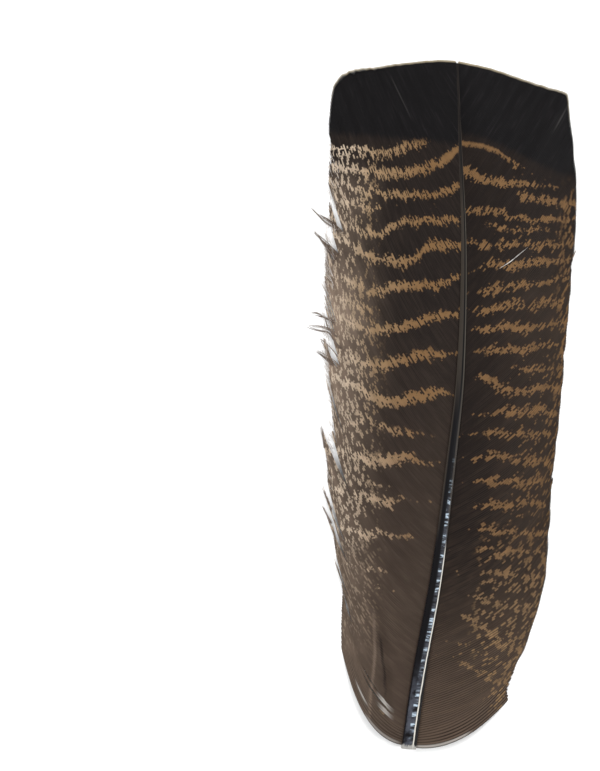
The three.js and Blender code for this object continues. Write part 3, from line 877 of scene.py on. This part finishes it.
BLACK_BAND = srgb(20, 19, 20)
BAND_SHEEN = srgb(52, 48, 50)
DARK_GROUND = srgb(30, 25, 23)
LEFT_EDGE_GROUND = srgb(131, 114, 100)
RIGHT_EDGE_GROUND = srgb(104, 86, 70)
LOW_GROUND = srgb(92, 77, 66)
LEFT_TAN = srgb(118, 90, 60)
RIGHT_TAN = srgb(112, 85, 57)
CREAM = srgb(154, 131, 103)
EDGE_CREAM = srgb(191, 175, 157)
PALE_TIP = srgb(166, 154, 130)
PALE_BARB = srgb(176, 172, 167)
LOOSE_BARB = srgb(88, 74, 65)
BARB_GAP_SHADE = srgb(22, 18, 16)
STREAK = 6.0


def barb_finish(name, side, seed):
    """Colours of a vane: brown ground, jagged tan bars, a black band across the end, pale tips."""
    material, tone, shader = new_finish(name, Roughness=0.6, Specular_IOR_Level=0.1)
    barb, along = tone.field("barb"), tone.field("along")
    x, y = tone.field("drawn_x"), tone.field("drawn_y")
    outward = x * side
    strength = tone.field("bar_strength")
    solid = strength.step(1.05, 1.5)
    wave = (tone.speckle(barb * 0.3, along * 0.06, seed + 3.0, 1.0) - 0.5) * 3.0
    jag = (tone.speckle(barb * 1.5, along * 0.24, seed, 2.0) - 0.5) * STREAK
    pits = tone.speckle(barb * 1.5, along * 0.7, seed + 9.0, 1.0).step(0.5, 0.62) * (1 - solid)
    spacing = tone.field("bar_spacing")
    turned = tone.field("bar") + wave * (1 - solid * 0.8) / spacing
    nearest = turned.math("ROUND", turned)
    away = abs(turned - nearest) * spacing
    missing = (1 - strength).most(0.0)
    inside = tone.field("bar_half") - away + jag * (1 - solid * 0.75) - pits * 1.5 - missing * 2.2
    if side < 0:
        blot = tone.blots(barb * 0.76, along * 0.6, seed + 21.0)
        broken_up = outward.step(13, 23) * (1 - y.step(160, 168) * 0.8)
        inside = inside + ((0.42 - blot) * 3.0 - pits * 0.5) * broken_up
    bars = inside.step(-0.25, 0.45)
    if side < 0:
        inner_rim = outward + y.fall(100, 135) * 5
        mottled = inner_rim.step(17, 25) * y.fall(166, 171) * y.step(44, 62)
        reach = 0.34 + mottled * 0.1 - y.step(110, 150) * 0.04
        spots = (reach - blot + jag * 0.1).step(-0.05, 0.1) * mottled
    else:
        blot = tone.blots(barb * 0.8, along * 0.46, seed + 27.0)
        reach_in = outward - y.fall(10, 34) * 6
        low_spots = reach_in.step(13, 18) * y.fall(55, 68) * y.step(8, 15)
        edge_spots = outward.step(31, 36) * y.step(60, 75) * y.fall(158, 166)
        mottled = low_spots.most(edge_spots)
        spots = (0.38 - blot + jag * 0.06 + outward.step(16, 30) * 0.06).step(-0.04, 0.08) * mottled
        between = outward.step(19, 34) * y.step(46, 58) * y.fall(104, 122)
        sparse = (0.14 + between * 0.18 - blot + jag * 0.06).step(-0.04, 0.06) * between.step(0.0, 0.1)
        spots = spots.most(sparse)
        broken_up = y.fall(70, 130) * 0.8 + outward.step(22, 34) * 0.5
        bars = (inside + (0.55 - blot) * 3.0 * broken_up).step(-0.25, 0.45)
        bars = bars * (1 - y.fall(30, 60) * 0.25) * (1 - y.fall(12, 20) * 0.6)
    marks = bars.most(spots)
    if side < 0:
        faint = tone.speckle(barb * 1.5, along * 0.4, seed + 33.0, 1.0).step(0.52, 0.64)
        low_left = outward.step(9, 17) * y.step(22, 36) * y.fall(52, 62)
        marks = marks.most(faint * low_left * 0.5)
    cloud = tone.speckle(x * 0.12, y * 0.12, seed + 30.0, 3.0) - 0.5
    if side < 0:
        toward_edge = (outward + y.fall(10, 80) * 8).step(6, 34)
        toward_edge = toward_edge * toward_edge * y.fall(110, 145)
        toward_edge = toward_edge * (0.32 + y.step(5, 60) * 0.38 + y.step(78, 105) * 0.25)
        pale_rim = outward.step(15, 35) * y.step(108, 128) * y.fall(154, 169)
        toward_edge = toward_edge + pale_rim * 0.46
        lowness = y.fall(0, 140) * 0.42
        edge_ground, cream, tan = LEFT_EDGE_GROUND, outward.step(4, 32), LEFT_TAN
    else:
        toward_edge = outward.step(8, 36) * y.fall(125, 165) * 0.13
        lowness = y.fall(-10, 62) * 0.68
        edge_ground, cream, tan = RIGHT_EDGE_GROUND, y.fall(38, 70) * 0.3, RIGHT_TAN
    ground = (lowness + cloud * 0.12).mix(DARK_GROUND, LOW_GROUND)
    ground = (toward_edge + cloud * toward_edge * 1.3).mix(ground, edge_ground)
    fleck = tone.speckle(barb * 2.6, along * 0.12, seed + 40.0, 2.0)
    low_flecks = 0.05 if side < 0 else 0.12
    fleck_share = 0.05 + y.fall(20, 110) * low_flecks + toward_edge * 0.12
    ground = (fleck.step(0.35, 0.8) * fleck_share).mix(ground, edge_ground)
    # Painted shade in the crease and a painted highlight on the ridge beside it.
    ground = (tone.field("crease").step(0.1, 1.0) * 0.85).mix(ground, DARK_GROUND)
    ground = ((0 - tone.field("crease")).step(0.1, 0.7) * 0.4).mix(ground, edge_ground)
    tan = cream.mix(tan, CREAM)
    if side < 0:
        tan = (y.fall(50, 110) * (0.1 + outward.step(4, 22) * 0.45)).mix(tan, EDGE_CREAM)
        tan = ((outward + y.fall(100, 135) * 5).step(20, 34) * 0.85).mix(tan, EDGE_CREAM)
    tan = (inside.fall(0.0, 1.3) * 0.22).mix(tan, DARK_GROUND)
    colour = marks.mix(ground, tan)
    if side < 0:
        band = (y + jag * 0.5 - outward * 0.03).step(170.6, 173.4)
    else:
        band = (y + jag * 0.5 + outward.step(3, 36) * 9.5).step(173.8, 176.2)
    black = (fleck.step(0.5, 0.8) * 0.25).mix(BLACK_BAND, BAND_SHEEN)
    colour = band.mix(colour, black)
    tips = tone.field("to_end").fall(0.25, 0.8) * y.step(178, 190)
    colour = (tips * 0.85).mix(colour, PALE_TIP)
    # Pale barbs, of which those low on the left are a painted highlight.
    colour = tone.field("pale").mix(colour, PALE_BARB)
    colour = (tone.field("loose") * (0.4 + fleck * 0.5)).mix(colour, LOOSE_BARB)
    # Painted shade in the gaps between barbs, stronger low on the vane.
    low_gap_shade = 0.25 if side < 0 else 0.5
    groove = tone.field("groove").step(0.15, 0.9) * (0.15 + y.fall(60, 130) * low_gap_shade)
    colour = groove.mix(colour, BARB_GAP_SHADE)
    join(colour, shader, "Base Color")
    return material


left_vane = make_vane("left_vane", LEFT_VANE, -1, LEFT_GAPS, LEFT_BARS, 11)
right_vane = make_vane("right_vane", RIGHT_VANE, 1, RIGHT_GAPS, RIGHT_BARS, 23)
belongs(left_vane, barb_finish("left_barbs", -1, 3.0))
belongs(right_vane, barb_finish("right_barbs", 1, 57.0))

# Fringe. Along its worn left edge the real vane has come apart: a few dark barbs have sprung out in
# loose strands, and fine pale barbules stand off the rim. Every one is a slim closed strip that is
# rooted on the vane.
LOOSE_STRANDS = [
    # x and y at points from the root to the tip
    [[-29.7, 145.0], [-34.2, 147.3], [-36.7, 149.5], [-39.3, 151.9]],
    [[-30.6, 137.3], [-33.7, 140.4], [-35.8, 143.1], [-37.6, 144.7]],
    [[-29.9, 119.0], [-32.8, 120.2], [-34.8, 121.3], [-36.9, 121.3]],
    [[-27.5, 111.7], [-29.5, 113.7], [-31.3, 116.0], [-33.5, 116.3], [-36.4, 116.9], [-38.4, 117.9]],
    [[-28.9, 115.0], [-31.7, 117.7], [-32.7, 121.6]],
    [[-29.5, 106.8], [-32.4, 109.1], [-34.6, 110.8]],
    [[-30.2, 83.0], [-31.0, 86.5], [-32.0, 90.2]],
    [[-27.0, 65.6], [-28.6, 68.6], [-30.1, 72.0]],
    [[-26.8, 61.6], [-28.5, 64.3], [-29.9, 66.7]],
]
HAIRS_IN_STRAND = 6
PALE_HAIRS = 260
HAIR_RINGS = 12
STRAND_HAIR = 0.13
PALE_HAIR = 0.06
HAIR_LIFT = 0.16

random = np.random.default_rng(41)
grid_root = np.linspace(LEFT_VANE[0][0], LEFT_VANE[-1][0], 400)
grid_x, grid_y, grid_z = vane_paths(LEFT_VANE, grid_root, np.linspace(0, 1, 60)[None, :])
ring = np.linspace(0, 1, HAIR_RINGS)


def height_of_vane(grid, x, y):
    """The height of the nearest point of a vane under each place."""
    found = [np.argmin((grid[0] - px) ** 2 + (grid[1] - py) ** 2) for px, py in zip(x, y)]
    return grid[2].ravel()[found]


hairs, widths, paleness = [], [], []
for points in LOOSE_STRANDS:
    points = np.array(points, float)
    line = np.column_stack([np.linspace(0, 1, len(points)), points])
    for hair in range(HAIRS_IN_STRAND):
        reached = ring * (1 - 0.5 * (hair / HAIRS_IN_STRAND) * random.uniform(0.3, 1))
        path = read_table(line, reached)[:, 1:]
        ahead = np.gradient(path, axis=0)
        ahead /= np.hypot(ahead[:, 0], ahead[:, 1])[:, None]
        aside = random.uniform(-1, 1) * (0.12 + 0.3 * reached**3)
        x = path[:, 0] - ahead[:, 1] * aside
        y = path[:, 1] + ahead[:, 0] * aside
        z = height_of_vane((grid_x, grid_y, grid_z), x, y) + HAIR_LIFT
        z = z + random.uniform(0, 1.0) * reached**2
        hairs.append([x, y, z])
        widths.append(STRAND_HAIR * (1 - 0.7 * ring**1.5))
        paleness.append(0.05 + 0.35 * random.uniform(0, 1) * ring)
for hair in range(PALE_HAIRS):
    root = random.choice([random.uniform(33, 97), random.uniform(47, 80)])
    share = random.uniform(0.88, 0.985)
    start = vane_paths(LEFT_VANE, np.array([root]), np.array([[share]]))
    start_x, start_y = float(start[0][0, 0]), float(start[1][0, 0])
    turn = math.radians(random.uniform(104, 128))
    curl = math.radians(random.uniform(-24, 34))
    length = random.uniform(1.6, 4.6)
    bearing = turn + curl * ring
    step = length / HAIR_RINGS
    x = start_x + np.cumsum(np.cos(bearing)) * step
    y = start_y + np.cumsum(np.sin(bearing)) * step
    z = height_of_vane((grid_x, grid_y, grid_z), x, y) + HAIR_LIFT
    z = z + random.uniform(0, 0.8) * ring**2
    hairs.append([x, y, z])
    widths.append(PALE_HAIR * random.uniform(0.7, 1.4) * (1 - 0.7 * ring))
    paleness.append(np.full(HAIR_RINGS, 0.45 + 0.55 * random.uniform(0, 1)))
hairs = np.array(hairs)
widths = np.array(widths)
fringe = barb_mesh(
    "left_fringe", hairs[:, 0], hairs[:, 1], hairs[:, 2], widths, widths * 0.7,
    {"paleness": np.array(paleness)},
)
fringe_finish, tone, shader = new_finish("loose_barbs", Roughness=0.6, Specular_IOR_Level=0.2)
pale = tone.field("paleness")
join(pale.mix(srgb(84, 70, 61), srgb(198, 190, 183)), shader, "Base Color")
belongs(fringe, fringe_finish)

# Stray fibre. One fine white fibre lies loose across the right vane. It is a thin round thread that
# tapers to both ends and rests on the barbs.
FIBRE = [
    # share of the length, x and y
    [0, 15.6, 137.2],
    [0.35, 18.6, 139.4],
    [0.7, 21.4, 142.0],
    [1, 23.5, 143.9],
]
FIBRE_RADIUS = 0.13
FIBRE_END = 0.12
FIBRE_LIFT = 0.3
FIBRE_STEPS = 14

right_root = np.linspace(RIGHT_VANE[0][0], RIGHT_VANE[-1][0], 400)
right_grid = vane_paths(RIGHT_VANE, right_root, np.linspace(0, 1, 60)[None, :])
shares = np.linspace(0, 1, FIBRE_STEPS)
fibre_line = read_table(FIBRE, shares)[:, 1:]
fibre_z = height_of_vane(right_grid, fibre_line[:, 0], fibre_line[:, 1]) + FIBRE_LIFT
heading = math.atan2(FIBRE[-1][2] - FIBRE[0][2], FIBRE[-1][1] - FIBRE[0][1])
start_piece()
bpy.ops.mesh.primitive_circle_add(
    vertices=8, radius=1, fill_type="NGON", rotation=(math.pi / 2, 0, heading - math.pi / 2)
)
fibre = bpy.context.object
bpy.ops.object.transform_apply(location=False, rotation=True, scale=False)
bpy.ops.object.mode_set(mode="EDIT")
stations = []
for share, point, height in zip(shares, fibre_line, fibre_z):
    radius = FIBRE_RADIUS * MM * (FIBRE_END + (1 - FIBRE_END) * math.sin(math.pi * share) ** 0.7)
    stations.append((placed(*point, height), (radius, radius, radius)))
pull_along(stations)
settle(fibre, "stray_fibre")
bpy.ops.object.shade_smooth()
fibre_finish, tone, shader = new_finish("white_fibre", Roughness=0.5)
x, y, z = place_tones(tone)
shade = tone.speckle(x * 0.6, y * 0.6, z, 2.0)
join(shade.step(0.35, 0.6).mix(srgb(118, 114, 110), srgb(192, 189, 184)), shader, "Base Color")
belongs(fibre, fibre_finish)

# Floor. A plain pale sheet under the feather, wide enough for every view.
start_piece()
bpy.ops.mesh.primitive_plane_add(size=6, location=(0, 0, -0.0001))
floor = settle(bpy.context.object, "floor")
pale = (0.9, 0.9, 0.9, 1)
floor_finish = new_finish("pale_floor", Base_Color=pale, Roughness=0.9, Specular_IOR_Level=0.1)[0]
floor.data.materials.append(floor_finish)

# Lights. Soft plain studio light: a broad box on the left, a slimmer, lower one on the right, a third
# beyond the tip, and an even pale sky.
SKY_STRENGTH = 0.45
LIGHTS = [
    # name, place, width, height, power
    ["left_box", (-0.9, 0.1, 0.9), 0.9, 0.9, 14],
    ["right_box", (0.95, -0.1, 0.68), 0.3, 1.0, 10],
    ["top_box", (0.1, 1.0, 1.0), 1.0, 0.6, 9],
]
for name, place, width, height, power in LIGHTS:
    bpy.ops.object.light_add(type="AREA", location=place)
    light = bpy.context.object
    light.name = name
    light.rotation_euler = (-Vector(place)).to_track_quat("-Z", "Y").to_euler()
    light.data.shape = "RECTANGLE"
    light.data.size = width
    light.data.size_y = height
    light.data.energy = power
    light.visible_glossy = name == "right_box"
world = bpy.data.worlds.new("studio")
world.use_nodes = True
sky = world.node_tree.nodes["Background"].inputs
sky["Color"].default_value = (1, 1, 1, 1)
sky["Strength"].default_value = SKY_STRENGTH
bpy.context.scene.world = world
bpy.context.scene.view_settings.view_transform = "Standard"
